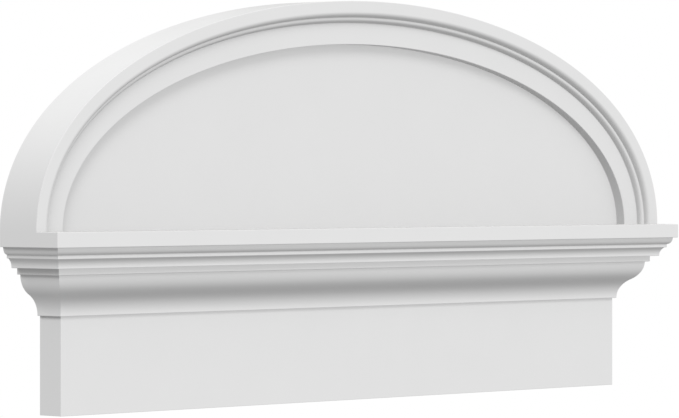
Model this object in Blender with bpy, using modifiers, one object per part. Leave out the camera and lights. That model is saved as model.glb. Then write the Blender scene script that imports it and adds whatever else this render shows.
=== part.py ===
"""Arched pediment in solid white PVC, made to be fixed to a wall over a door or window.

A moulded crosshead (frieze board, crown moulding and cap) carries a half-elliptical arch with a
flat panel inside it. The frame is X along the width, +Y to the wall and +Z up. The origin is the
middle of the frieze board's back face, where the pediment lies against the wall.
"""

from math import atan2, cos, hypot, pi, radians, sin

import bmesh
import bpy
from mathutils import Matrix

INCH = 0.0254

# Space kept between pieces that are glued face to face.
GLUE_GAP = 0.0003

# Frieze board.
FRIEZE_WIDTH = 28.0 * INCH
FRIEZE_THICKNESS = 1.0 * INCH
FRIEZE_BELOW_CROWN = 3.25 * INCH

# Crown moulding, from the frieze face outwards and from its lower edge upwards.
CROWN_LIP_PROJECTION = 0.1125 * INCH
CROWN_LIP_HEIGHT = 0.0325 * INCH
OGEE_REACH = 0.7525 * INCH
OGEE_HEIGHT = 1.33 * INCH
CROWN_FILLET_STEP = 0.135 * INCH
CROWN_FILLET_HEIGHT = 0.2 * INCH

# Cap moulding, going on outwards and upwards from the crown's fillet.
CAP_SOFFIT = 0.25 * INCH
CAP_LIP_HEIGHT = 0.0375 * INCH
COVE_REACH = 0.135 * INCH
COVE_HEIGHT = 0.28 * INCH
CAP_FILLET_STEP = 0.065 * INCH
CAP_FILLET_HEIGHT = 0.125 * INCH
CAP_OVOLO_REACH = 0.16 * INCH
CAP_OVOLO_HEIGHT = 0.245 * INCH
LEDGE_STEP = 0.14 * INCH
LEDGE_HEIGHT = 0.5 * INCH

# Arch panel, and the arch moulding from the panel outwards and from its face forwards.
PANEL_RISE = 6.375 * INCH
PANEL_THICKNESS = 1.0 * INCH
BAND_WIDTH = 0.75 * INCH
BAND_STEP = 0.375 * INCH
INNER_OVOLO_WIDTH = 0.1375 * INCH
INNER_OVOLO_DEPTH = 0.1875 * INCH
ARCH_FILLET_WIDTH = 0.05 * INCH
OUTER_OVOLO_WIDTH = 0.1875 * INCH
OUTER_OVOLO_DEPTH = 0.1875 * INCH
ARCH_FASCIA_WIDTH = 0.375 * INCH

# Straight pieces that stand in for each curve.
STEPS_PER_QUARTER = 6
STEPS_PER_OGEE_ARC = 8
STEPS_PER_HALF_ARCH = 56

# Edges flatter than this are shaded smooth.
SMOOTH_ANGLE = radians(28.0)

# White PVC, as milled mouldings and as flat sheet.
MOULDING_WHITE = (0.90, 0.90, 0.90, 1.0)
BOARD_WHITE = (0.88, 0.88, 0.88, 1.0)
SATIN_ROUGHNESS = 0.48

# Points closer than this are one point where the two halves of a piece meet.
MERGE_DISTANCE = 0.00005

# Sizes and levels that follow from the values above.
CROWN_HEIGHT = CROWN_LIP_HEIGHT + OGEE_HEIGHT + CROWN_FILLET_HEIGHT
FRIEZE_HEIGHT = FRIEZE_BELOW_CROWN + CROWN_HEIGHT
CAP_HEIGHT = CAP_LIP_HEIGHT + COVE_HEIGHT + CAP_FILLET_HEIGHT + CAP_OVOLO_HEIGHT + LEDGE_HEIGHT
CROWN_PROJECTION = CROWN_LIP_PROJECTION + OGEE_REACH + CROWN_FILLET_STEP
CAP_LIP_PROJECTION = CROWN_PROJECTION + CAP_SOFFIT
CAP_FILLET_PROJECTION = CAP_LIP_PROJECTION + COVE_REACH + CAP_FILLET_STEP
LEDGE_PROJECTION = CAP_FILLET_PROJECTION + CAP_OVOLO_REACH + LEDGE_STEP
ARCH_WIDTH = BAND_WIDTH + INNER_OVOLO_WIDTH + ARCH_FILLET_WIDTH + OUTER_OVOLO_WIDTH + ARCH_FASCIA_WIDTH

CROWN_TOP = FRIEZE_HEIGHT / 2
CROWN_BOTTOM = CROWN_TOP - CROWN_HEIGHT
CAP_BOTTOM = CROWN_TOP + GLUE_GAP
LEDGE_TOP = CAP_BOTTOM + CAP_HEIGHT
ARCH_BASE = LEDGE_TOP + GLUE_GAP

# The arch stands flush with the ends of the ledge.
OPENING_HALF_WIDTH = FRIEZE_WIDTH / 2 + LEDGE_PROJECTION - ARCH_WIDTH


def clear_scene():
    for thing in list(bpy.data.objects):
        bpy.data.objects.remove(thing, do_unlink=True)


def make_collection(name):
    group = bpy.data.collections.new(name)
    bpy.context.scene.collection.children.link(group)
    return group


def make_material(name, color):
    material = bpy.data.materials.new(name)
    material.use_nodes = True
    shader = material.node_tree.nodes["Principled BSDF"]
    shader.inputs["Base Color"].default_value = color
    shader.inputs["Roughness"].default_value = SATIN_ROUGHNESS
    shader.inputs["Metallic"].default_value = 0.0
    return material


def arc(start, end, bulge, steps):
    """Points of a round arc after start, up to end; a positive bulge rises to the chord's left."""
    chord_x, chord_y = end[0] - start[0], end[1] - start[1]
    chord = hypot(chord_x, chord_y)
    rise = bulge * chord
    radius = (chord * chord / 4 + rise * rise) / (2 * rise)
    centre_x = (start[0] + end[0]) / 2 + chord_y / chord * (radius - rise)
    centre_y = (start[1] + end[1]) / 2 - chord_x / chord * (radius - rise)
    first = atan2(start[1] - centre_y, start[0] - centre_x)
    full_turn = -4 * atan2(2 * rise, chord)
    points = []
    for step in range(1, steps + 1):
        turn = first + full_turn * step / steps
        points.append((centre_x + abs(radius) * cos(turn), centre_y + abs(radius) * sin(turn)))
    return points


def bulge_from_tangent(reach, height):
    """Bulge of an arc that starts or ends upright and covers this reach and height."""
    return (hypot(reach, height) - height) / (2 * reach)


def quarter(start, end, steps):
    """Points of a quarter ellipse after start, up to end, leaving start along its first axis."""
    across, along = end[0] - start[0], end[1] - start[1]
    points = []
    for step in range(1, steps + 1):
        turn = pi / 2 * step / steps
        points.append((start[0] + across * sin(turn), start[1] + along * (1 - cos(turn))))
    return points


def cap_profile():
    """Points of (projection, height) down the cap's face, from the ledge's top to its underside."""
    ledge_bottom = LEDGE_TOP - LEDGE_HEIGHT
    ovolo_top = (LEDGE_PROJECTION - LEDGE_STEP, ledge_bottom)
    ovolo_bottom = (CAP_FILLET_PROJECTION, ledge_bottom - CAP_OVOLO_HEIGHT)
    fillet_bottom = (CAP_FILLET_PROJECTION, ovolo_bottom[1] - CAP_FILLET_HEIGHT)
    cove_top = (CAP_FILLET_PROJECTION - CAP_FILLET_STEP, fillet_bottom[1])
    cove_bottom = (CAP_LIP_PROJECTION, CAP_BOTTOM + CAP_LIP_HEIGHT)
    cove_bulge = -bulge_from_tangent(COVE_REACH, COVE_HEIGHT)
    points = [(LEDGE_PROJECTION, LEDGE_TOP), (LEDGE_PROJECTION, ledge_bottom)]
    points += quarter(ovolo_bottom, ovolo_top, STEPS_PER_QUARTER)[::-1]
    points += [ovolo_bottom, fillet_bottom, cove_top]
    points += arc(cove_top, cove_bottom, cove_bulge, STEPS_PER_QUARTER)
    points.append((CAP_LIP_PROJECTION, CAP_BOTTOM))
    return points


def crown_profile():
    """Points of (projection, height) down the crown's face, from its fillet to its lip."""
    fillet_bottom = CROWN_TOP - CROWN_FILLET_HEIGHT
    ogee_top = (CROWN_PROJECTION - CROWN_FILLET_STEP, fillet_bottom)
    ogee_middle = (ogee_top[0] - OGEE_REACH / 2, fillet_bottom - OGEE_HEIGHT / 2)
    ogee_bottom = (CROWN_LIP_PROJECTION, CROWN_BOTTOM + CROWN_LIP_HEIGHT)
    bulge = bulge_from_tangent(OGEE_REACH, OGEE_HEIGHT)
    points = [(CROWN_PROJECTION, CROWN_TOP), (CROWN_PROJECTION, fillet_bottom), ogee_top]
    points += arc(ogee_top, ogee_middle, bulge, STEPS_PER_OGEE_ARC)
    points += arc(ogee_middle, ogee_bottom, -bulge, STEPS_PER_OGEE_ARC)
    points.append((CROWN_LIP_PROJECTION, CROWN_BOTTOM))
    return points


def arch_section():
    """Outline of the arch moulding as (distance outside the panel's opening, distance from the wall)."""
    band_front = PANEL_THICKNESS + BAND_STEP
    fillet_front = band_front + INNER_OVOLO_DEPTH
    fascia_front = fillet_front + OUTER_OVOLO_DEPTH
    inner_ovolo_end = (BAND_WIDTH, band_front)
    fillet_start = (BAND_WIDTH + INNER_OVOLO_WIDTH, fillet_front)
    outer_ovolo_end = (fillet_start[0] + ARCH_FILLET_WIDTH, fillet_front)
    fascia_start = (outer_ovolo_end[0] + OUTER_OVOLO_WIDTH, fascia_front)
    points = [(0.0, 0.0), (ARCH_WIDTH, 0.0), (ARCH_WIDTH, fascia_front), fascia_start]
    points += quarter(fascia_start, outer_ovolo_end, STEPS_PER_QUARTER)
    points.append(fillet_start)
    points += quarter(fillet_start, inner_ovolo_end, STEPS_PER_QUARTER)
    points.append((0.0, band_front))
    return points


def arch_point(turn, outside, from_wall):
    """Point at this distance outside the panel's elliptical opening, at its parameter angle."""
    across, up = PANEL_RISE * cos(turn), OPENING_HALF_WIDTH * sin(turn)
    length = hypot(across, up)
    return (
        OPENING_HALF_WIDTH * cos(turn) + outside * across / length,
        -from_wall,
        ARCH_BASE + PANEL_RISE * sin(turn) + outside * up / length,
    )


def half_arch_turns():
    """Parameter angles from the springing up to the top of the arch."""
    return [pi / 2 * step / STEPS_PER_HALF_ARCH for step in range(STEPS_PER_HALF_ARCH + 1)]


def mesh_from(shape):
    mesh = bpy.data.meshes.new("piece")
    shape.to_mesh(mesh)
    shape.free()
    return mesh


def sweep(stations, open_start=False, open_end=False):
    """Extrudes the outline of the first station through all the others."""
    shape = bmesh.new()
    place = shape.verts.layers.int.new("place")
    outline = []
    for number, point in enumerate(stations[0]):
        vertex = shape.verts.new(point)
        vertex[place] = number
        outline.append(vertex)
    face = shape.faces.new(outline)
    unwanted = [face] if open_start else []
    for number, station in enumerate(stations[1:]):
        if number > 0:
            unwanted.append(face)
        grown = bmesh.ops.extrude_face_region(shape, geom=[face])["geom"]
        face = next(item for item in grown if isinstance(item, bmesh.types.BMFace))
        for vertex in face.verts:
            vertex.co = station[vertex[place]]
    if open_end:
        unwanted.append(face)
    bmesh.ops.delete(shape, geom=unwanted, context="FACES_ONLY")
    bmesh.ops.recalc_face_normals(shape, faces=shape.faces)
    return mesh_from(shape)


def add_piece(group, name, mesh, color):
    mesh.name = name
    piece = bpy.data.objects.new(name, mesh)
    piece.data.materials.append(make_material(name, color))
    group.objects.link(piece)
    return piece


def shade_curves_smooth(piece):
    piece.data.shade_smooth()
    piece.data.set_sharp_from_angle(angle=SMOOTH_ANGLE)


def mirror_across_middle(piece):
    mirror = piece.modifiers.new("other half", "MIRROR")
    mirror.use_axis = (True, False, False)
    mirror.use_mirror_merge = True
    mirror.merge_threshold = MERGE_DISTANCE


def build_frieze_board(group):
    """Flat board that lies on the wall, with the crown fixed round its upper part."""
    shape = bmesh.new()
    size = Matrix.Diagonal((FRIEZE_WIDTH, FRIEZE_THICKNESS, FRIEZE_HEIGHT, 1.0))
    bmesh.ops.create_cube(shape, size=1.0, matrix=size)
    piece = add_piece(group, "frieze_board", mesh_from(shape), BOARD_WHITE)
    piece.location = (0.0, -FRIEZE_THICKNESS / 2, 0.0)


def build_crown_moulding(group):
    """Ogee crown along the front of the frieze board, mitred and returned to the wall at both ends."""
    profile = crown_profile() + [(GLUE_GAP, CROWN_BOTTOM), (GLUE_GAP, CROWN_TOP)]
    end = FRIEZE_WIDTH / 2
    middle = [(0.0, -FRIEZE_THICKNESS - out, height) for out, height in profile]
    mitre = [(end + out, -FRIEZE_THICKNESS - out, height) for out, height in profile]
    wall = [(end + out, 0.0, height) for out, height in profile]
    half = sweep([middle, mitre, wall], open_start=True)
    piece = add_piece(group, "crown_moulding", half, MOULDING_WHITE)
    shade_curves_smooth(piece)
    mirror_across_middle(piece)


def build_cap_moulding(group):
    """Ledge board with an ovolo, a fillet and a cove run round its front and both ends."""
    levels = []
    for out, height in cap_profile():
        side, front = FRIEZE_WIDTH / 2 + out, -FRIEZE_THICKNESS - out
        corners = ((-side, 0.0), (side, 0.0), (side, front), (-side, front))
        levels.append([(x, y, height) for x, y in corners])
    piece = add_piece(group, "cap_moulding", sweep(levels), MOULDING_WHITE)
    shade_curves_smooth(piece)


def build_arch_moulding(group):
    """Half-elliptical moulding as deep as its side, standing on the ledge."""
    section = arch_section()
    stations = [[arch_point(turn, *point) for point in section] for turn in half_arch_turns()]
    piece = add_piece(group, "arch_moulding", sweep(stations, open_end=True), MOULDING_WHITE)
    shade_curves_smooth(piece)
    mirror_across_middle(piece)


def build_tympanum_panel(group):
    """Flat panel that fills the arch, set back from the arch's band."""
    turns = half_arch_turns()
    edge = [arch_point(turn, -GLUE_GAP, 0.0) for turn in turns]
    edge += [(-x, y, z) for x, y, z in reversed(edge[:-1])]
    front = [(x, -PANEL_THICKNESS, z) for x, y, z in edge]
    piece = add_piece(group, "tympanum_panel", sweep([edge, front]), BOARD_WHITE)
    shade_curves_smooth(piece)


def build_pediment():
    clear_scene()
    group = make_collection("arched_pediment")
    build_frieze_board(group)
    build_crown_moulding(group)
    build_cap_moulding(group)
    build_arch_moulding(group)
    build_tympanum_panel(group)


build_pediment()
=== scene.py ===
"""Finish of an arched pediment in white PVC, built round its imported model.

Lengths are in metres. X runs along the width, +Y into the wall and +Z up, and the origin is the
middle of the frieze board's back face.
"""

from math import atan2, cos, hypot, pi, radians, sin, tan

import bmesh
import bpy
from bpy.props import FloatProperty, FloatVectorProperty, IntProperty, PointerProperty
from bpy.types import Operator, Panel, PropertyGroup
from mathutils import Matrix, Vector


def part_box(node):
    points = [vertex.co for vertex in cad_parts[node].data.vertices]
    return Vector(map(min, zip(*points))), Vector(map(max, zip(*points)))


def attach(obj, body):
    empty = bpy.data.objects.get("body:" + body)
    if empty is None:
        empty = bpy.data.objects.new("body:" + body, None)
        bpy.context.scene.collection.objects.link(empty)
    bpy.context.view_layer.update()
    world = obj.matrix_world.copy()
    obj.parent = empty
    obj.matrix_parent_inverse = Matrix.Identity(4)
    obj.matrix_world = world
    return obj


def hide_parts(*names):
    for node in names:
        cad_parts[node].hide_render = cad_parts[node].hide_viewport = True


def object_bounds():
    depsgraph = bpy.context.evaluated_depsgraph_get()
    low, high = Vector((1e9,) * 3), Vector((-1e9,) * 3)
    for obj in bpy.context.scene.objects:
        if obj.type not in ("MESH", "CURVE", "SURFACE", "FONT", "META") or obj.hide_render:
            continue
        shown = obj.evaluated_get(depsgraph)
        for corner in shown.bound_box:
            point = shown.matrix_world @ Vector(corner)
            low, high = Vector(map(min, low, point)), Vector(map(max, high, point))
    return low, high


bl_info = {
    "name": "Arched Pediment",
    "version": (1, 0, 0),
    "blender": (4, 5, 0),
    "location": "3D View > Sidebar > Pediment",
    "description": "Mills and finishes the five pieces of an arched PVC pediment",
    "category": "Add Mesh",
}

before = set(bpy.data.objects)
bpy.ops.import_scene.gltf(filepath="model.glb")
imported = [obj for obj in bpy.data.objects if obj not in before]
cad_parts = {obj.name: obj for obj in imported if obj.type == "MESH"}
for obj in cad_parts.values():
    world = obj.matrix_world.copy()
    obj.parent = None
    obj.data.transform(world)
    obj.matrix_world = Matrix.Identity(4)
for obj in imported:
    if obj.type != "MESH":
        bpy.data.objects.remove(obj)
CAD_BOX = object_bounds()

INCH = 0.0254

# Boxes of the glued-up pieces, as (lowest corner, highest corner).
FRIEZE_LOW, FRIEZE_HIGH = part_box("frieze_board")
CROWN_LOW, CROWN_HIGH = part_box("crown_moulding")
CAP_LOW, CAP_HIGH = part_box("cap_moulding")
ARCH_LOW, ARCH_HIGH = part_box("arch_moulding")
PANEL_LOW, PANEL_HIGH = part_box("tympanum_panel")

# Turns sharper than this are arrises to ease, and edges sharper than the second stay crisp.
ARRIS_ANGLE = radians(25.0)
CRISP_ANGLE = radians(35.0)

# Point attribute with the distance across the milled face and along its run.
MILLED = "milled"

# How far noise is spread about its middle, and how much the clouds and pores change the gloss.
NOISE_SPREAD = 4.0
CLOUD_GLOSS = 0.03
PORE_GLOSS = 0.003

# Noise details of the clouds, the pores and the cutters' lines.
CLOUD_DETAIL = 3.0
PORE_DETAIL = 2.0
LINE_DETAIL = 2.0

# How often the cutters' lines change along a metre of their run.
LINE_CHANGES = 4.0

# How far a rounded edge turns from its face where rubbing starts and where it is full.
RUBBED_START, RUBBED_FULL = 0.01, 0.20

# Rays for each look round a corner or an arris.
NEAR_SAMPLES = 4

# Power of a face's upward share that keeps the painted shade on level faces alone.
LEVEL_SHADE_POWER = 64.0

FLOOR_SIDES = 96
FLOOR_ROUGHNESS = 0.9

# Lamps as (name, setting of its strength, turn to the left of the front, height, throws shadows).
LAMPS = (
    ("fill lamp", "fill_lamp", radians(340.0), radians(45.0), False),
    ("left lamp", "left_lamp", radians(50.0), radians(32.0), True),
    ("back lamp", "back_lamp", radians(125.0), radians(40.0), True),
)


def length(name, description, default, **more):
    return FloatProperty(
        name=name, description=description, default=default, min=0.0, unit="LENGTH", precision=5, **more
    )


def share(name, description, default, **more):
    return FloatProperty(
        name=name, description=description, default=default, min=0.0, subtype="FACTOR", **more
    )


def brightness(name, description, default):
    return FloatProperty(name=name, description=description, default=default, min=0.0, precision=3)


def count(name, description, default, fewest):
    return IntProperty(name=name, description=description, default=default, min=fewest)


class EdgeSizes(PropertyGroup):
    """How finely the pieces are milled."""

    ease: length("Ease", "Radius that takes the sharpness off each arris", 0.0003)
    ease_steps: count("Ease steps", "Facets across each eased arris", 4, fewest=1)
    curve_steps: count("Curve steps", "Facets along each moulded curve", 16, fewest=2)
    arch_steps: count("Arch steps", "Stations from springing to crown", 120, fewest=8)


class CrownSizes(PropertyGroup):
    """Members of the crown, below the cap."""

    fillet_step: length("Fillet step", "How far the fillet stands out over the ogee", 0.135 * INCH)
    fillet_height: length("Fillet height", "Height of the flat fillet at the top", 0.2 * INCH)
    ogee_reach: length("Ogee reach", "Projection that the ogee covers", 0.7525 * INCH)
    ogee_height: length("Ogee height", "Height that the ogee covers", 1.33 * INCH)


class CapSizes(PropertyGroup):
    """Members of the cap, from the ledge downwards."""

    ledge_height: length("Ledge height", "Thickness of the ledge's front", 0.5 * INCH)
    ledge_step: length("Ledge step", "How far the ledge stands out over the ovolo", 0.14 * INCH)
    ovolo_height: length("Ovolo height", "Height that the ovolo covers", 0.245 * INCH)
    ovolo_reach: length("Ovolo reach", "Projection that the ovolo covers", 0.16 * INCH)
    fillet_height: length("Fillet height", "Height of the fillet under the ovolo", 0.125 * INCH)
    fillet_step: length("Fillet step", "How far the fillet stands out over the cove", 0.065 * INCH)
    cove_height: length("Cove height", "Height that the cove covers", 0.28 * INCH)
    cove_reach: length("Cove reach", "Projection that the cove covers", 0.135 * INCH)


class ArchSizes(PropertyGroup):
    """Members of the arch, from its outer edge inwards."""

    fascia_width: length("Fascia width", "Width of the flat outer face", 0.375 * INCH)
    outer_ovolo_width: length("Outer ovolo width", "Width of the outer ovolo", 0.1875 * INCH)
    outer_ovolo_depth: length("Outer ovolo depth", "Depth that the outer ovolo drops", 0.1875 * INCH)
    fillet_width: length("Fillet width", "Width of the fillet between the ovolos", 0.05 * INCH)
    inner_ovolo_width: length("Inner ovolo width", "Width of the inner ovolo", 0.1375 * INCH)
    inner_ovolo_depth: length("Inner ovolo depth", "Depth that the inner ovolo drops", 0.1875 * INCH)
    band_width: length("Band width", "Width of the flat band round the panel", 0.75 * INCH)


class FinishSettings(PropertyGroup):
    """Colour and surface of the vinyl."""

    moulding_colour: FloatVectorProperty(
        name="Moulding colour", description="White of the milled mouldings", default=(0.88, 0.88, 0.88),
        subtype="COLOR", min=0.0, max=1.0,
    )
    board_colour: FloatVectorProperty(
        name="Board colour", description="White of the flat sheet", default=(0.87, 0.87, 0.87),
        subtype="COLOR", min=0.0, max=1.0,
    )
    # Painted shade: the next four settings darken the vinyl's colour in the inner corners and on level
    # faces.
    shade_colour: FloatVectorProperty(
        name="Shade colour", description="Colour of the painted shade in the corners and on level faces",
        default=(0.70, 0.695, 0.685), subtype="COLOR", min=0.0, max=1.0,
    )
    corner_shade: share("Corner dust", "How much of the shade colour shows in deep corners", 0.08, max=1.0)
    level_shade: share("Level shade", "How much of the shade colour shows on level faces", 0.6, max=1.0)
    shade_reach: length("Shade reach", "How far out of a corner its painted shade lies", 0.006)
    thrown_on: share("Thrown on", "Share of its white that a face throws on to others", 0.45, max=1.0)
    moulding_roughness: share("Moulding roughness", "Roughness of the milled faces", 0.46, max=1.0)
    board_roughness: share("Board roughness", "Roughness of the sheet's faces", 0.52, max=1.0)
    cloudiness: share("Cloudiness", "Change of tone across the sheet", 0.006, max=1.0)
    cloud_size: length("Cloud size", "Width of a patch of one tone", 0.045)
    grain_size: length("Grain size", "Width of a pore of the skin", 0.0007)
    grain_depth: length("Grain depth", "Depth of a pore of the skin", 0.000008)
    line_pitch: length("Line pitch", "Distance between the fine lines that the cutters leave", 0.0011)
    line_depth: length("Line depth", "Depth of the cutters' lines", 0.000006)
    sheen: share("Sheen", "Strength of the skin's gloss", 0.1, max=1.0)
    edge_reach: length("Edge reach", "How far from an arris the skin is rubbed smooth", 0.0012)
    edge_gloss: share("Edge gloss", "How much smoother an arris is than the face beside it", 0.10, max=1.0)


class StageSettings(PropertyGroup):
    """Camera, lamps and floor."""

    camera_left: length("Camera left", "Distance of the camera to the left of the middle", 2.63004)
    camera_front: length("Camera front", "Distance of the camera in front of the wall", 2.50065)
    camera_above_ledge: length("Camera above ledge", "Height of the camera over the ledge's top", 0.04507)
    camera_turn: FloatProperty(
        name="Camera turn", description="How far the camera is turned to the right of facing the wall",
        default=radians(46.5007), subtype="ANGLE",
    )
    lens: FloatProperty(
        name="Lens", description="Focal length, in millimetres", default=215.59, min=1.0, unit="CAMERA"
    )
    shift_y: FloatProperty(
        name="Shift", description="Rise of the lens, as a share of the picture's width", default=-0.04747
    )
    lamp_width: FloatProperty(
        name="Lamp width", description="Width of each soft lamp, as seen from the pediment",
        default=radians(25.0), min=0.0, subtype="ANGLE",
    )
    fill_lamp: brightness("Fill lamp", "Strength of the lamp in front that throws no shadow", 0.505)
    left_lamp: brightness("Left lamp", "Strength of the lamp at the left, beside the camera", 0.26)
    back_lamp: brightness("Back lamp", "Strength of the lamp high behind at the left", 0.2)
    surround: brightness("Surround", "Light from every side alike", 0.4)
    backdrop: brightness("Backdrop", "Brightness of the white that the camera sees behind", 1.0)
    floor_drop: length("Floor drop", "Height of the pediment's lower edge over the floor", 1.1)
    floor_radius: length("Floor radius", "Radius of the round floor", 12.0)
    floor_colour: FloatVectorProperty(
        name="Floor colour", description="Colour of the floor", default=(0.93, 0.93, 0.93),
        subtype="COLOR", min=0.0, max=1.0,
    )
    floor_glow: brightness("Floor glow", "Light that the floor gives off by itself", 0.4)


class PedimentSettings(PropertyGroup):
    """All that can be set for the pediment."""

    edges: PointerProperty(type=EdgeSizes)
    crown: PointerProperty(type=CrownSizes)
    cap: PointerProperty(type=CapSizes)
    arch: PointerProperty(type=ArchSizes)
    finish: PointerProperty(type=FinishSettings)
    stage: PointerProperty(type=StageSettings)


# Outlines

def arc(start, end, bulge, steps):
    """Points of a round arc after start, up to end; a positive bulge rises to the chord's left."""
    chord_x, chord_y = end[0] - start[0], end[1] - start[1]
    chord = hypot(chord_x, chord_y)
    rise = bulge * chord
    radius = (chord * chord / 4 + rise * rise) / (2 * rise)
    centre_x = (start[0] + end[0]) / 2 + chord_y / chord * (radius - rise)
    centre_y = (start[1] + end[1]) / 2 - chord_x / chord * (radius - rise)
    first = atan2(start[1] - centre_y, start[0] - centre_x)
    full_turn = -4 * atan2(2 * rise, chord)
    turns = [first + full_turn * step / steps for step in range(1, steps + 1)]
    return [(centre_x + abs(radius) * cos(turn), centre_y + abs(radius) * sin(turn)) for turn in turns]


def bulge_from_tangent(reach, height):
    """Bulge of an arc that starts or ends upright and covers this reach and height."""
    return (hypot(reach, height) - height) / (2 * reach)


def quarter(start, end, steps):
    """Points of a quarter ellipse after start, up to end, leaving start along its first axis."""
    across, along = end[0] - start[0], end[1] - start[1]
    turns = [pi / 2 * step / steps for step in range(1, steps + 1)]
    return [(start[0] + across * sin(turn), start[1] + along * (1 - cos(turn))) for turn in turns]


def eased(points, edges):
    """The same open outline with a small round at every arris and inner corner between its ends."""
    result = [points[0]]
    for before, corner, after in zip(points, points[1:], points[2:]):
        back = (before[0] - corner[0], before[1] - corner[1])
        on = (after[0] - corner[0], after[1] - corner[1])
        room = min(hypot(*back), hypot(*on)) / 2
        turn = atan2(on[0] * back[1] - on[1] * back[0], -(on[0] * back[0] + on[1] * back[1]))
        if abs(turn) < ARRIS_ANGLE:
            result.append(corner)
            continue
        reach = min(edges.ease * tan(abs(turn) / 2), room)
        start = tuple(at + reach * side / hypot(*back) for at, side in zip(corner, back))
        end = tuple(at + reach * side / hypot(*on) for at, side in zip(corner, on))
        result.append(start)
        result += arc(start, end, tan(turn / 4) / 2, edges.ease_steps)
    result.append(points[-1])
    return result


def crown_outline(settings):
    """Closed outline of the crown as (projection from the frieze's face, height)."""
    crown, edges = settings.crown, settings.edges
    projection = FRIEZE_LOW.y - CROWN_LOW.y
    fillet_bottom = CROWN_HIGH.z - crown.fillet_height
    ogee_top = (projection - crown.fillet_step, fillet_bottom)
    ogee_middle = (ogee_top[0] - crown.ogee_reach / 2, fillet_bottom - crown.ogee_height / 2)
    ogee_bottom = (ogee_top[0] - crown.ogee_reach, fillet_bottom - crown.ogee_height)
    bulge = bulge_from_tangent(crown.ogee_reach, crown.ogee_height)
    points = [(projection, CAP_LOW.z), (projection, fillet_bottom), ogee_top]
    points += arc(ogee_top, ogee_middle, bulge, edges.curve_steps)
    points += arc(ogee_middle, ogee_bottom, -bulge, edges.curve_steps)
    points += [(ogee_bottom[0], CROWN_LOW.z), (0.0, CROWN_LOW.z)]
    return eased(points, edges) + [(0.0, CAP_LOW.z)]


def cap_outline(settings):
    """Outline down the cap's face as (projection from the frieze's face, height)."""
    cap, edges = settings.cap, settings.edges
    projection = FRIEZE_LOW.y - CAP_LOW.y
    ledge_bottom = CAP_HIGH.z - cap.ledge_height
    ovolo_top = (projection - cap.ledge_step, ledge_bottom)
    ovolo_bottom = (ovolo_top[0] - cap.ovolo_reach, ledge_bottom - cap.ovolo_height)
    fillet_bottom = (ovolo_bottom[0], ovolo_bottom[1] - cap.fillet_height)
    cove_top = (fillet_bottom[0] - cap.fillet_step, fillet_bottom[1])
    cove_bottom = (cove_top[0] - cap.cove_reach, cove_top[1] - cap.cove_height)
    cove_bulge = -bulge_from_tangent(cap.cove_reach, cap.cove_height)
    inside = cove_bottom[0] - cap.cove_reach
    points = [(inside, CAP_HIGH.z), (projection, CAP_HIGH.z), (projection, ledge_bottom)]
    points += quarter(ovolo_bottom, ovolo_top, edges.curve_steps)[::-1]
    points += [ovolo_bottom, fillet_bottom, cove_top]
    points += arc(cove_top, cove_bottom, cove_bulge, edges.curve_steps)
    points += [(cove_bottom[0], CAP_LOW.z), (inside, CAP_LOW.z)]
    return eased(points, edges)


def arch_width(arch):
    """Width of the arch moulding, from its outer edge to the panel's opening."""
    ovolos = arch.outer_ovolo_width + arch.fillet_width + arch.inner_ovolo_width
    return arch.fascia_width + ovolos + arch.band_width


def arch_outline(settings):
    """Closed outline of the arch as (distance outside the panel's opening, distance from the wall)."""
    arch, edges = settings.arch, settings.edges
    depth, width = -ARCH_LOW.y, arch_width(arch)
    fascia_inside = (width - arch.fascia_width, depth)
    fillet_outside = (fascia_inside[0] - arch.outer_ovolo_width, depth - arch.outer_ovolo_depth)
    fillet_inside = (fillet_outside[0] - arch.fillet_width, fillet_outside[1])
    band_outside = (fillet_inside[0] - arch.inner_ovolo_width, fillet_inside[1] - arch.inner_ovolo_depth)
    points = [(width, 0.0), (width, depth), fascia_inside]
    points += quarter(fascia_inside, fillet_outside, edges.curve_steps)
    points.append(fillet_inside)
    points += quarter(fillet_inside, band_outside, edges.curve_steps)
    points += [(0.0, band_outside[1]), (0.0, 0.0)]
    return eased(points, edges)


# Runs that the outlines follow

def plan(projection, edges):
    """Points of (x, y) from the wall, round both front corners and back, this far outside the frieze."""
    side, front, ease = FRIEZE_HIGH.x + projection, FRIEZE_LOW.y - projection, edges.ease
    turns = [pi / 2 * step / edges.ease_steps for step in range(edges.ease_steps + 1)]
    corner = [(side - ease + ease * cos(turn), front + ease - ease * sin(turn)) for turn in turns]
    right = [(side, 0.0)] + corner
    return [(-x, y) for x, y in right] + right[::-1]


def level_runs(outline, edges):
    """The level run round the ends and the front that each point of an outline draws."""
    return [[(x, y, height) for x, y in plan(out, edges)] for out, height in outline]


def arch_point(turn, outside, from_wall, width):
    """Point this far outside the panel's elliptical opening, at its parameter angle."""
    half_width, rise = ARCH_HIGH.x - width, ARCH_HIGH.z - ARCH_LOW.z - width
    across, up = rise * cos(turn), half_width * sin(turn)
    size = hypot(across, up)
    return (
        half_width * cos(turn) + outside * across / size,
        -from_wall,
        ARCH_LOW.z + rise * sin(turn) + outside * up / size,
    )


def arch_turns(edges):
    """Parameter angles from the right-hand springing over the top to the left-hand one."""
    return [pi * step / (2 * edges.arch_steps) for step in range(2 * edges.arch_steps + 1)]


def down_to(station, height):
    """The same station of points, dropped to this height."""
    return [(x, y, height) for x, y, z in station]


# Pieces

def distances(points):
    """Distance of each point from the first, along the points."""
    total, result = 0.0, [0.0]
    for here, there in zip(points, points[1:]):
        total += hypot(*(b - a for a, b in zip(here, there)))
        result.append(total)
    return result


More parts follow.
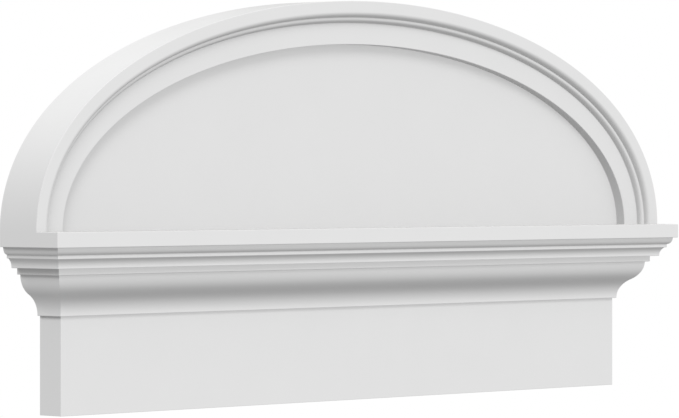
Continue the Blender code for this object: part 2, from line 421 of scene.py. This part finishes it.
def skin(rings, rings_run_along):
    """Closed mesh through rings of points, with flat ends, that knows how it was milled."""
    shape = bmesh.new()
    milled = shape.verts.layers.float_vector.new(MILLED)
    round_ring = distances(rings[0])
    through_rings = distances([ring[0] for ring in rings])
    rows = []
    for ring, through in zip(rings, through_rings):
        row = []
        for point, around in zip(ring, round_ring):
            vertex = shape.verts.new(point)
            vertex[milled] = (through, around, 0.0) if rings_run_along else (around, through, 0.0)
            row.append(vertex)
        rows.append(row)
    for row, following in zip(rows, rows[1:]):
        for corner in range(len(row)):
            shape.faces.new((row[corner - 1], row[corner], following[corner], following[corner - 1]))
    shape.faces.new(rows[0])
    shape.faces.new(rows[-1])
    bmesh.ops.recalc_face_normals(shape, faces=shape.faces)
    return shape


def add_piece(context, name, shape, finish, node):
    """Makes the piece that stands for a node of the frame, with soft shading between crisp edges."""
    mesh = bpy.data.meshes.new(name)
    shape.to_mesh(mesh)
    shape.free()
    mesh.shade_smooth()
    mesh.set_sharp_from_angle(angle=CRISP_ANGLE)
    mesh.materials.append(finish)
    piece = bpy.data.objects.new(name, mesh)
    context.scene.collection.objects.link(piece)
    flats = piece.modifiers.new("flat faces", "WEIGHTED_NORMAL")
    flats.keep_sharp = True
    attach(piece, "root")
    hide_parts(node)
    return piece


# Finishes

def new_group(name, inputs, outputs):
    """Node group with these (name, socket type, default) inputs and (name, socket type) outputs."""
    group = bpy.data.node_groups.new(name, "ShaderNodeTree")
    for label, kind, default in inputs:
        group.interface.new_socket(label, in_out="INPUT", socket_type=kind).default_value = default
    for label, kind in outputs:
        group.interface.new_socket(label, in_out="OUTPUT", socket_type=kind)
    return group, group.nodes.new("NodeGroupInput"), group.nodes.new("NodeGroupOutput")


def math_node(tree, operation, *values):
    """Math node of this operation on numbers and sockets, as its output socket."""
    node = tree.nodes.new("ShaderNodeMath")
    node.operation = operation
    for socket, value in zip(node.inputs, values):
        if isinstance(value, bpy.types.NodeSocket):
            tree.links.new(value, socket)
        else:
            socket.default_value = value
    return node.outputs[0]


def noise_node(tree, vector, scale, detail):
    """Noise from this vector; scale is a number or a socket."""
    node = tree.nodes.new("ShaderNodeTexNoise")
    node.inputs["Detail"].default_value = detail
    tree.links.new(vector, node.inputs["Vector"])
    if isinstance(scale, bpy.types.NodeSocket):
        tree.links.new(scale, node.inputs["Scale"])
    else:
        node.inputs["Scale"].default_value = scale
    return node.outputs["Fac"]


def vinyl_skin_group():
    """Clouded tone, uneven gloss and fine pores of a vinyl skin."""
    name = "Vinyl skin"
    if name in bpy.data.node_groups:
        return bpy.data.node_groups[name]
    group, given, result = new_group(
        name,
        [
            ("Colour", "NodeSocketColor", (0.88, 0.88, 0.88, 1.0)),
            ("Cloudiness", "NodeSocketFloat", 0.006),
            ("Cloud Size", "NodeSocketFloat", 0.045),
            ("Roughness", "NodeSocketFloat", 0.5),
            ("Grain Size", "NodeSocketFloat", 0.0007),
        ],
        [("Colour", "NodeSocketColor"), ("Roughness", "NodeSocketFloat"), ("Height", "NodeSocketFloat")],
    )
    place = group.nodes.new("ShaderNodeTexCoord").outputs["Object"]
    cloud_scale = math_node(group, "DIVIDE", 1.0, given.outputs["Cloud Size"])
    pore_scale = math_node(group, "DIVIDE", 1.0, given.outputs["Grain Size"])
    clouds = noise_node(group, place, cloud_scale, CLOUD_DETAIL)
    pores = noise_node(group, place, pore_scale, PORE_DETAIL)
    swing = math_node(group, "MULTIPLY", math_node(group, "SUBTRACT", clouds, 0.5), NOISE_SPREAD)
    tone = math_node(group, "MULTIPLY_ADD", swing, given.outputs["Cloudiness"], 1.0)
    tinted = group.nodes.new("ShaderNodeVectorMath")
    tinted.operation = "SCALE"
    group.links.new(given.outputs["Colour"], tinted.inputs[0])
    group.links.new(tone, tinted.inputs["Scale"])
    clouded = math_node(group, "MULTIPLY_ADD", swing, CLOUD_GLOSS, given.outputs["Roughness"])
    rough = math_node(group, "MULTIPLY_ADD", math_node(group, "SUBTRACT", pores, 0.5), PORE_GLOSS, clouded)
    group.links.new(tinted.outputs[0], result.inputs["Colour"])
    group.links.new(rough, result.inputs["Roughness"])
    group.links.new(pores, result.inputs["Height"])
    return group


def rubbed_edge_group():
    """Mask that rises to 1 on the arrises, where handling has rubbed the skin smooth."""
    name = "Rubbed edge"
    if name in bpy.data.node_groups:
        return bpy.data.node_groups[name]
    group, given, result = new_group(
        name, [("Reach", "NodeSocketFloat", 0.001)], [("Mask", "NodeSocketFloat")]
    )
    rounded = group.nodes.new("ShaderNodeBevel")
    rounded.samples = NEAR_SAMPLES
    true_face = group.nodes.new("ShaderNodeNewGeometry")
    turned = group.nodes.new("ShaderNodeVectorMath")
    turned.operation = "DOT_PRODUCT"
    group.links.new(given.outputs["Reach"], rounded.inputs["Radius"])
    group.links.new(rounded.outputs["Normal"], turned.inputs[0])
    group.links.new(true_face.outputs["Normal"], turned.inputs[1])
    away = math_node(group, "SUBTRACT", 1.0, turned.outputs["Value"])
    mask = group.nodes.new("ShaderNodeMapRange")
    mask.inputs["From Min"].default_value = RUBBED_START
    mask.inputs["From Max"].default_value = RUBBED_FULL
    group.links.new(away, mask.inputs["Value"])
    group.links.new(mask.outputs["Result"], result.inputs["Mask"])
    return group


def corner_shade_group():
    """Painted shade: the colour darkened in the inner corners, where ambient occlusion finds them, and on
    level faces.
    """
    name = "Corner dust"
    if name in bpy.data.node_groups:
        return bpy.data.node_groups[name]
    group, given, result = new_group(
        name,
        [
            ("Colour", "NodeSocketColor", (0.88, 0.88, 0.88, 1.0)),
            ("Shade", "NodeSocketColor", (0.70, 0.695, 0.685, 1.0)),
            ("In Corners", "NodeSocketFloat", 0.08),
            ("On Level Faces", "NodeSocketFloat", 0.6),
            ("Reach", "NodeSocketFloat", 0.006),
        ],
        [("Colour", "NodeSocketColor")],
    )
    # Painted shade: the colour darkens where ambient occlusion finds a near corner.
    corner = group.nodes.new("ShaderNodeAmbientOcclusion")
    corner.samples = NEAR_SAMPLES
    group.links.new(given.outputs["Reach"], corner.inputs["Distance"])
    depth = math_node(group, "SUBTRACT", 1.0, corner.outputs["AO"])
    facing = group.nodes.new("ShaderNodeNewGeometry")
    upright = group.nodes.new("ShaderNodeSeparateXYZ")
    group.links.new(facing.outputs["Normal"], upright.inputs[0])
    # Painted shade on level faces: faces that look straight up are darkened.
    level = math_node(group, "POWER", math_node(group, "MAXIMUM", upright.outputs["Z"], 0.0), LEVEL_SHADE_POWER)
    in_corner = math_node(group, "MULTIPLY", depth, given.outputs["In Corners"])
    on_top = math_node(group, "MULTIPLY", level, given.outputs["On Level Faces"])
    shade_amount = math_node(group, "MAXIMUM", in_corner, on_top)
    mix = group.nodes.new("ShaderNodeMix")
    mix.data_type = "RGBA"
    group.links.new(shade_amount, mix.inputs["Factor"])
    group.links.new(given.outputs["Colour"], mix.inputs["A"])
    group.links.new(given.outputs["Shade"], mix.inputs["B"])
    group.links.new(mix.outputs["Result"], result.inputs["Colour"])
    return group


def place_group(tree, group, values):
    """Node of this group in a tree, with these values on its inputs."""
    node = tree.nodes.new("ShaderNodeGroup")
    node.node_tree = group
    for label, value in values.items():
        node.inputs[label].default_value = value
    return node


def cutter_lines(tree, pitch):
    """Fine lines that run along a milled moulding, as a height from 0 to 1."""
    run = tree.nodes.new("ShaderNodeAttribute")
    run.attribute_name = MILLED
    stretch = tree.nodes.new("ShaderNodeVectorMath")
    stretch.operation = "MULTIPLY"
    stretch.inputs[1].default_value = (1 / pitch, LINE_CHANGES, 1.0)
    tree.links.new(run.outputs["Vector"], stretch.inputs[0])
    return noise_node(tree, stretch.outputs[0], 1.0, LINE_DETAIL)


def as_thrown_on(tree, colour, thrown_on):
    """The colour as the camera sees it, and darker in the light that goes on to the next face."""
    ray = tree.nodes.new("ShaderNodeLightPath")
    kept = math_node(tree, "MULTIPLY_ADD", ray.outputs["Is Diffuse Ray"], thrown_on - 1.0, 1.0)
    dimmed = tree.nodes.new("ShaderNodeVectorMath")
    dimmed.operation = "SCALE"
    tree.links.new(colour, dimmed.inputs[0])
    tree.links.new(kept, dimmed.inputs["Scale"])
    return dimmed.outputs[0]


def vinyl(name, colour, roughness, finish, milled):
    """White vinyl; a milled face also has the cutters' fine lines."""
    if name in bpy.data.materials:
        return bpy.data.materials[name]
    material = bpy.data.materials.new(name)
    material.use_nodes = True
    tree = material.node_tree
    shader = tree.nodes["Principled BSDF"]
    whole = place_group(tree, vinyl_skin_group(), {
        "Colour": (*colour, 1.0),
        "Cloudiness": finish.cloudiness,
        "Cloud Size": finish.cloud_size,
        "Roughness": roughness,
        "Grain Size": finish.grain_size,
    })
    # Painted shade in the inner corners and on level faces, mixed into the base colour.
    painted_shade = place_group(tree, corner_shade_group(), {
        "Shade": (*finish.shade_colour, 1.0),
        "In Corners": finish.corner_shade,
        "On Level Faces": finish.level_shade,
        "Reach": finish.shade_reach,
    })
    edge = place_group(tree, rubbed_edge_group(), {"Reach": finish.edge_reach})
    tree.links.new(whole.outputs["Colour"], painted_shade.inputs["Colour"])
    seen = as_thrown_on(tree, painted_shade.outputs["Colour"], finish.thrown_on)
    tree.links.new(seen, shader.inputs["Base Color"])
    unrubbed = whole.outputs["Roughness"]
    rough = math_node(tree, "MULTIPLY_ADD", edge.outputs["Mask"], -finish.edge_gloss, unrubbed)
    tree.links.new(rough, shader.inputs["Roughness"])
    shader.inputs["Specular IOR Level"].default_value = finish.sheen
    height = math_node(tree, "MULTIPLY", whole.outputs["Height"], finish.grain_depth)
    if milled:
        lines = cutter_lines(tree, finish.line_pitch)
        height = math_node(tree, "MULTIPLY_ADD", lines, finish.line_depth, height)
    bump = tree.nodes.new("ShaderNodeBump")
    bump.inputs["Distance"].default_value = 1.0
    tree.links.new(height, bump.inputs["Height"])
    tree.links.new(bump.outputs["Normal"], shader.inputs["Normal"])
    return material


def moulding_vinyl(settings):
    """Finish of the crown, the cap and the arch."""
    finish = settings.finish
    return vinyl("Milled vinyl", finish.moulding_colour, finish.moulding_roughness, finish, milled=True)


def board_vinyl(settings):
    """Finish of the frieze board and the panel."""
    finish = settings.finish
    return vinyl("Sheet vinyl", finish.board_colour, finish.board_roughness, finish, milled=False)


# Stage

def add_surround(context, stage):
    """Even light from every side, and a brighter white that only the camera sees."""
    world = bpy.data.worlds.new("Surround")
    context.scene.world = world
    world.use_nodes = True
    tree = world.node_tree
    light = tree.nodes["Background"]
    light.inputs["Strength"].default_value = stage.surround
    backdrop = tree.nodes.new("ShaderNodeBackground")
    backdrop.inputs["Strength"].default_value = stage.backdrop
    seen = tree.nodes.new("ShaderNodeMixShader")
    for node in (light, backdrop):
        node.inputs["Color"].default_value = (1.0, 1.0, 1.0, 1.0)
    tree.links.new(tree.nodes.new("ShaderNodeLightPath").outputs["Is Camera Ray"], seen.inputs["Fac"])
    tree.links.new(light.outputs[0], seen.inputs[1])
    tree.links.new(backdrop.outputs[0], seen.inputs[2])
    tree.links.new(seen.outputs[0], tree.nodes["World Output"].inputs["Surface"])


def add_lamps(context, stage):
    """Lamps far off; strength 1 makes a face square to the lamp as bright as its colour."""
    for name, strength, turn, height, throws_shadows in LAMPS:
        light = bpy.data.lights.new(name, "SUN")
        light.angle = stage.lamp_width
        light.energy = pi * getattr(stage, strength)
        light.use_shadow = throws_shadows
        lamp = bpy.data.objects.new(name, light)
        toward = Vector((-sin(turn) * cos(height), -cos(turn) * cos(height), sin(height)))
        lamp.rotation_euler = toward.to_track_quat("Z", "Y").to_euler()
        context.scene.collection.objects.link(lamp)


def floor_finish(stage):
    """Pale floor that can be looked through from below."""
    material = bpy.data.materials.new("Pale floor")
    material.use_nodes = True
    tree = material.node_tree
    shader = tree.nodes["Principled BSDF"]
    shader.inputs["Base Color"].default_value = (*stage.floor_colour, 1.0)
    shader.inputs["Roughness"].default_value = FLOOR_ROUGHNESS
    shader.inputs["Emission Color"].default_value = (1.0, 1.0, 1.0, 1.0)
    shader.inputs["Emission Strength"].default_value = stage.floor_glow
    clear = tree.nodes.new("ShaderNodeBsdfTransparent")
    below = tree.nodes.new("ShaderNodeMixShader")
    tree.links.new(tree.nodes.new("ShaderNodeNewGeometry").outputs["Backfacing"], below.inputs["Fac"])
    tree.links.new(shader.outputs[0], below.inputs[1])
    tree.links.new(clear.outputs[0], below.inputs[2])
    tree.links.new(below.outputs[0], tree.nodes["Material Output"].inputs["Surface"])
    return material


def add_floor(context, stage):
    """Round floor, seen by the camera alone, so that it throws no light back up."""
    shape = bmesh.new()
    bmesh.ops.create_circle(shape, cap_ends=True, segments=FLOOR_SIDES, radius=stage.floor_radius)
    mesh = bpy.data.meshes.new("floor")
    shape.to_mesh(mesh)
    shape.free()
    mesh.materials.append(floor_finish(stage))
    floor = bpy.data.objects.new("floor", mesh)
    floor.location.z = CAD_BOX[0].z - stage.floor_drop
    for kind in ("diffuse", "glossy", "transmission", "shadow"):
        setattr(floor, "visible_" + kind, False)
    context.scene.collection.objects.link(floor)


def add_camera(context, stage):
    """Level camera at the photograph's viewing angle."""
    data = bpy.data.cameras.new("camera")
    data.lens = stage.lens
    data.shift_y = stage.shift_y
    camera = bpy.data.objects.new("camera", data)
    camera.location = (-stage.camera_left, -stage.camera_front, CAP_HIGH.z + stage.camera_above_ledge)
    camera.rotation_euler = (pi / 2, 0.0, -stage.camera_turn)
    context.scene.collection.objects.link(camera)
    context.scene.camera = camera


# Operators

class PEDIMENT_OT_frieze_board(Operator):
    """Cut the flat board that lies on the wall"""

    bl_idname = "pediment.frieze_board"
    bl_label = "Frieze board"
    bl_options = {"REGISTER", "UNDO"}

    def execute(self, context):
        settings = context.scene.pediment
        edges = settings.edges
        shape = bmesh.new()
        milled = shape.verts.layers.float_vector.new(MILLED)
        bmesh.ops.create_cube(shape, size=1.0)
        for vertex in shape.verts:
            corner = [high if at > 0 else low for at, low, high in zip(vertex.co, FRIEZE_LOW, FRIEZE_HIGH)]
            vertex.co = corner
        on_wall = [all(vertex.co.y == FRIEZE_HIGH.y for vertex in edge.verts) for edge in shape.edges]
        free = [edge for edge, held in zip(shape.edges, on_wall) if not held]
        bmesh.ops.bevel(
            shape, geom=free, offset=edges.ease, offset_type="OFFSET", segments=edges.ease_steps,
            profile=0.5, affect="EDGES", clamp_overlap=True,
        )
        for vertex in shape.verts:
            vertex[milled] = (vertex.co.z, vertex.co.x, 0.0)
        add_piece(context, "finished_frieze_board", shape, board_vinyl(settings), "frieze_board")
        return {"FINISHED"}


class PEDIMENT_OT_crown(Operator):
    """Run the ogee crown along the frieze board, with mitred returns to the wall"""

    bl_idname = "pediment.crown"
    bl_label = "Crown moulding"
    bl_options = {"REGISTER", "UNDO"}

    def execute(self, context):
        settings = context.scene.pediment
        runs = level_runs(crown_outline(settings), settings.edges)
        stations = [list(station) for station in zip(*runs)]
        shape = skin(stations, rings_run_along=False)
        add_piece(context, "finished_crown", shape, moulding_vinyl(settings), "crown_moulding")
        return {"FINISHED"}


class PEDIMENT_OT_cap(Operator):
    """Run the cap with its ledge, ovolo, fillet and cove round the top of the crown"""

    bl_idname = "pediment.cap"
    bl_label = "Cap moulding"
    bl_options = {"REGISTER", "UNDO"}

    def execute(self, context):
        settings = context.scene.pediment
        shape = skin(level_runs(cap_outline(settings), settings.edges), rings_run_along=True)
        add_piece(context, "finished_cap", shape, moulding_vinyl(settings), "cap_moulding")
        return {"FINISHED"}


class PEDIMENT_OT_arch(Operator):
    """Run the moulding of the half-elliptical arch, glued and filled to the ledge"""

    bl_idname = "pediment.arch"
    bl_label = "Arch moulding"
    bl_options = {"REGISTER", "UNDO"}

    def execute(self, context):
        settings = context.scene.pediment
        edges, width = settings.edges, arch_width(settings.arch)
        outline = arch_outline(settings)
        stations = [[arch_point(turn, *point, width) for point in outline] for turn in arch_turns(edges)]
        foot = CAP_HIGH.z - edges.ease
        stations = [down_to(stations[0], foot)] + stations + [down_to(stations[-1], foot)]
        shape = skin(stations, rings_run_along=False)
        add_piece(context, "finished_arch", shape, moulding_vinyl(settings), "arch_moulding")
        return {"FINISHED"}


class PEDIMENT_OT_tympanum(Operator):
    """Cut the flat panel that fills the arch"""

    bl_idname = "pediment.tympanum"
    bl_label = "Tympanum panel"
    bl_options = {"REGISTER", "UNDO"}

    def execute(self, context):
        settings = context.scene.pediment
        width = arch_width(settings.arch)
        back = [arch_point(turn, 0.0, 0.0, width) for turn in arch_turns(settings.edges)]
        back = down_to(back[:1], CAP_HIGH.z) + back + down_to(back[-1:], CAP_HIGH.z)
        front = [(x, PANEL_LOW.y, z) for x, y, z in back]
        shape = skin([back, front], rings_run_along=True)
        add_piece(context, "finished_tympanum", shape, board_vinyl(settings), "tympanum_panel")
        return {"FINISHED"}


class PEDIMENT_OT_stage(Operator):
    """Set up the camera, the lamps and the floor"""

    bl_idname = "pediment.stage"
    bl_label = "Stage"
    bl_options = {"REGISTER", "UNDO"}

    def execute(self, context):
        stage = context.scene.pediment.stage
        context.scene.view_settings.view_transform = "Standard"
        add_surround(context, stage)
        add_lamps(context, stage)
        add_floor(context, stage)
        add_camera(context, stage)
        return {"FINISHED"}


class PEDIMENT_PT_sidebar(Panel):
    """Sizes, finish and steps of the pediment"""

    bl_idname = "PEDIMENT_PT_sidebar"
    bl_label = "Arched Pediment"
    bl_space_type = "VIEW_3D"
    bl_region_type = "UI"
    bl_category = "Pediment"

    def draw(self, context):
        settings = context.scene.pediment
        for title, group, operators in (
            ("Edges", settings.edges, ()),
            ("Frieze", None, (PEDIMENT_OT_frieze_board,)),
            ("Crown", settings.crown, (PEDIMENT_OT_crown,)),
            ("Cap", settings.cap, (PEDIMENT_OT_cap,)),
            ("Arch", settings.arch, (PEDIMENT_OT_arch, PEDIMENT_OT_tympanum)),
            ("Finish", settings.finish, ()),
            ("Stage", settings.stage, (PEDIMENT_OT_stage,)),
        ):
            box = self.layout.box()
            box.label(text=title)
            for name in group.__annotations__ if group else ():
                box.prop(group, name)
            for operator in operators:
                box.operator(operator.bl_idname)


CLASSES = (
    EdgeSizes,
    CrownSizes,
    CapSizes,
    ArchSizes,
    FinishSettings,
    StageSettings,
    PedimentSettings,
    PEDIMENT_OT_frieze_board,
    PEDIMENT_OT_crown,
    PEDIMENT_OT_cap,
    PEDIMENT_OT_arch,
    PEDIMENT_OT_tympanum,
    PEDIMENT_OT_stage,
    PEDIMENT_PT_sidebar,
)


def register():
    for item in CLASSES:
        bpy.utils.register_class(item)
    bpy.types.Scene.pediment = PointerProperty(type=PedimentSettings)


def unregister():
    del bpy.types.Scene.pediment
    for item in reversed(CLASSES):
        bpy.utils.unregister_class(item)


def main():
    register()
    bpy.ops.pediment.frieze_board()
    bpy.ops.pediment.crown()
    bpy.ops.pediment.cap()
    bpy.ops.pediment.arch()
    bpy.ops.pediment.tympanum()
    bpy.ops.pediment.stage()


if __name__ == "__main__":
    main()
